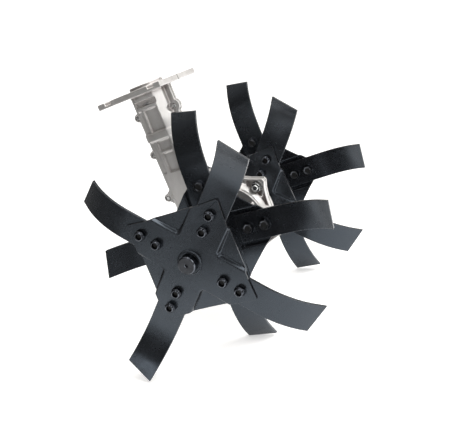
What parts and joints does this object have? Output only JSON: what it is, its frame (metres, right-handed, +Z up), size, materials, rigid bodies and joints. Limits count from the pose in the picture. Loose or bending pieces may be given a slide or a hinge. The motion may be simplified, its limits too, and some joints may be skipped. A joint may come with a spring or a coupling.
{
  "type": "rotary hoe head",
  "caption": "Engine-driven wheel hoe head: flanged worm gearbox on a cross axle with two tine rotors of bent flat blades on pressed square plates.",
  "frame": {"origin": "middle of the footprint, on the ground that the tines stand on", "axes": "+Z up; +Y along the axle, from the near rotor to the far rotor; +X away from the leaning gearbox column"},
  "size_m": [0.3386, 0.4056, 0.3769],
  "materials": {
    "cast_aluminium": "raw die-cast, satin",
    "zinc_plated_steel": "bright zinc plate",
    "black_oxide_steel": "black oxide, slightly oiled",
    "black_paint": "semi-gloss black powder coat",
    "machined_steel": "turned and ground",
    "bearing_steel": "polished",
    "seal_rubber": "matt",
    "gasket_fibre": "matt",
    "bronze": "machined"
  },
  "bodies": {
    "gearbox": {"axle_bearing_balls": "bearing_steel", "axle_bearing_outer_races": "bearing_steel", "axle_oil_seals": "seal_rubber", "case_bolts": "zinc_plated_steel", "case_nuts": "zinc_plated_steel", "case_washers": "zinc_plated_steel", "column_bolts": "zinc_plated_steel", "column_washers": "zinc_plated_steel", "grease_plug": "zinc_plated_steel", "housing_dowels": "machined_steel", "housing_gasket": "gasket_fibre", "housing_half_far": "cast_aluminium", "housing_half_near": "cast_aluminium", "input_oil_seal": "seal_rubber", "input_snap_ring": "zinc_plated_steel", "shaft_bearing_balls": "bearing_steel", "shaft_bearing_outer_races": "bearing_steel"},
    "rotor": {"far_hub_tube": "black_paint", "far_inner_blade_1": "black_paint", "far_inner_blade_2": "black_paint", "far_inner_blade_3": "black_paint", "far_inner_blade_4": "black_paint", "far_inner_plate": "black_paint", "far_outer_blade_1": "black_paint", "far_outer_blade_2": "black_paint", "far_outer_blade_3": "black_paint", "far_outer_blade_4": "black_paint", "far_outer_plate": "black_paint", "far_rotor_bolts": "black_oxide_steel", "far_rotor_nuts": "black_oxide_steel", "far_rotor_washers": "black_oxide_steel", "near_hub_tube": "black_paint", "near_inner_blade_1": "black_paint", "near_inner_blade_2": "black_paint", "near_inner_blade_3": "black_paint", "near_inner_blade_4": "black_paint", "near_inner_plate": "black_paint", "near_outer_blade_1": "black_paint", "near_outer_blade_2": "black_paint", "near_outer_blade_3": "black_paint", "near_outer_blade_4": "black_paint", "near_outer_plate": "black_paint", "near_rotor_bolts": "black_oxide_steel", "near_rotor_nuts": "black_oxide_steel", "near_rotor_washers": "black_oxide_steel", "axle": "black_oxide_steel", "worm_wheel": "bronze", "wheel_key": "machined_steel", "axle_spacers": "machined_steel", "axle_bearing_inner_races": "bearing_steel", "hub_pins": "zinc_plated_steel", "hub_pin_clips": "zinc_plated_steel"},
    "input_shaft": {"worm_shaft": "machined_steel", "shaft_bearing_inner_races": "bearing_steel"}
  },
  "joints": [
    {"name": "rotor_spin", "type": "hinge", "parent": "gearbox", "child": "rotor", "pos_m": [0.002, 0, 0.16728], "axis": [0, 1, 0], "continuous": true},
    {"name": "input_spin", "type": "hinge", "parent": "gearbox", "child": "input_shaft", "pos_m": [-0.05025, 0, 0.1501], "axis": [-0.3123, 0, 0.95], "continuous": true}
  ],
  "couplings": [
    {"joint": "input_spin", "follows": "rotor_spin", "ratio": -28}
  ]
}
